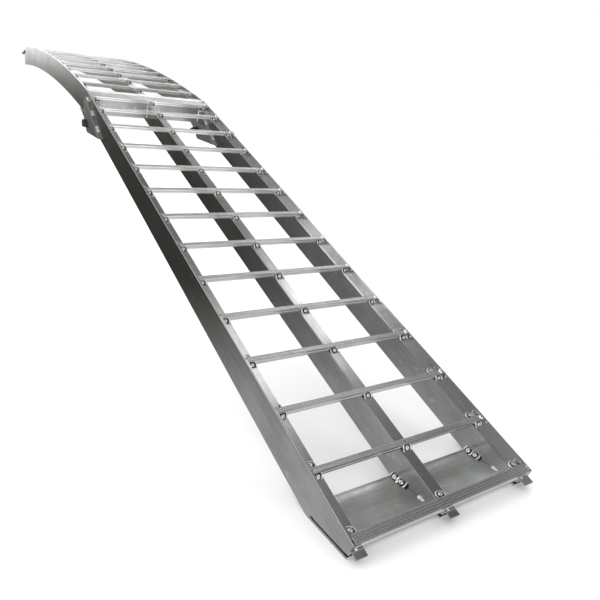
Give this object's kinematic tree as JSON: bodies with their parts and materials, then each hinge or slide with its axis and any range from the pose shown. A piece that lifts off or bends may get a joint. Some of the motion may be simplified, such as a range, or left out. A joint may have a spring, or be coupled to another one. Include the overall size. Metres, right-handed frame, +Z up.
{
  "type": "folding loading ramp",
  "caption": "Folding arched loading ramp with three tubular rails, lipped outer edges, ridged rungs, a bolted fold, a wedge foot with a plate, and vinyl capped fingers at the top end.",
  "frame": {"origin": "on the ground, at the middle of the flat sole of the foot, under the middle rail", "axes": "+Z up, +Y level from the foot towards the top end, +X to the right of someone walking up the ramp"},
  "size_m": [0.3194, 2.0662, 0.6009],
  "materials": {
    "rail_aluminium": "mill finish extrusion, satin",
    "rung_aluminium": "ribbed extrusion, bright satin",
    "plate_aluminium": "sheared plate, satin",
    "zinc_steel": "zinc plated, dull",
    "red_vinyl": "dipped vinyl, satin"
  },
  "bodies": {
    "upper_section": {"finger_sleeve_left": "red_vinyl", "finger_sleeve_middle": "red_vinyl", "finger_sleeve_right": "red_vinyl", "inner_hinge_lug_left": "plate_aluminium", "inner_hinge_lug_right": "plate_aluminium", "outer_hinge_lug_left": "plate_aluminium", "outer_hinge_lug_right": "plate_aluminium", "top_finger_left": "rail_aluminium", "top_finger_middle": "rail_aluminium", "top_finger_right": "rail_aluminium", "upper_cross_tube_left": "rail_aluminium", "upper_cross_tube_right": "rail_aluminium", "upper_fold_rung": "rung_aluminium", "upper_rail_left": "rail_aluminium", "upper_rail_middle": "rail_aluminium", "upper_rail_right": "rail_aluminium", "upper_rung_01": "rung_aluminium", "upper_rung_02": "rung_aluminium", "upper_rung_03": "rung_aluminium", "upper_rung_04": "rung_aluminium", "upper_rung_05": "rung_aluminium", "upper_rung_06": "rung_aluminium", "upper_rung_07": "rung_aluminium", "upper_rung_08": "rung_aluminium", "upper_rung_09": "rung_aluminium", "upper_rung_10": "rung_aluminium", "upper_side_tab": "plate_aluminium"},
    "lower_section": {"foot_plate": "plate_aluminium", "hinge_bolt_left": "zinc_steel", "hinge_bolt_right": "zinc_steel", "hinge_nut_left": "zinc_steel", "hinge_nut_right": "zinc_steel", "hinge_spacer_left": "zinc_steel", "hinge_spacer_right": "zinc_steel", "hinge_washers_left": "zinc_steel", "hinge_washers_right": "zinc_steel", "inner_hinge_plate_left": "plate_aluminium", "inner_hinge_plate_right": "plate_aluminium", "lower_cross_tube_left": "rail_aluminium", "lower_cross_tube_right": "rail_aluminium", "lower_fold_rung": "rung_aluminium", "lower_rail_left": "rail_aluminium", "lower_rail_middle": "rail_aluminium", "lower_rail_right": "rail_aluminium", "lower_rung_01": "rung_aluminium", "lower_rung_02": "rung_aluminium", "lower_rung_03": "rung_aluminium", "lower_rung_04": "rung_aluminium", "lower_rung_05": "rung_aluminium", "lower_rung_06": "rung_aluminium", "lower_rung_07": "rung_aluminium", "lower_rung_08": "rung_aluminium", "lower_rung_09": "rung_aluminium", "lower_rung_10": "rung_aluminium", "lower_rung_11": "rung_aluminium", "lower_rung_12": "rung_aluminium", "lower_rung_13": "rung_aluminium", "lower_side_tab": "plate_aluminium", "outer_hinge_plate_left": "plate_aluminium", "outer_hinge_plate_right": "plate_aluminium"}
  },
  "joints": [
    {"name": "fold", "type": "hinge", "parent": "upper_section", "child": "lower_section", "pos_m": [0, 1.01933, 0.3847], "axis": [1, 0, 0], "range_deg": [0, 168]}
  ]
}
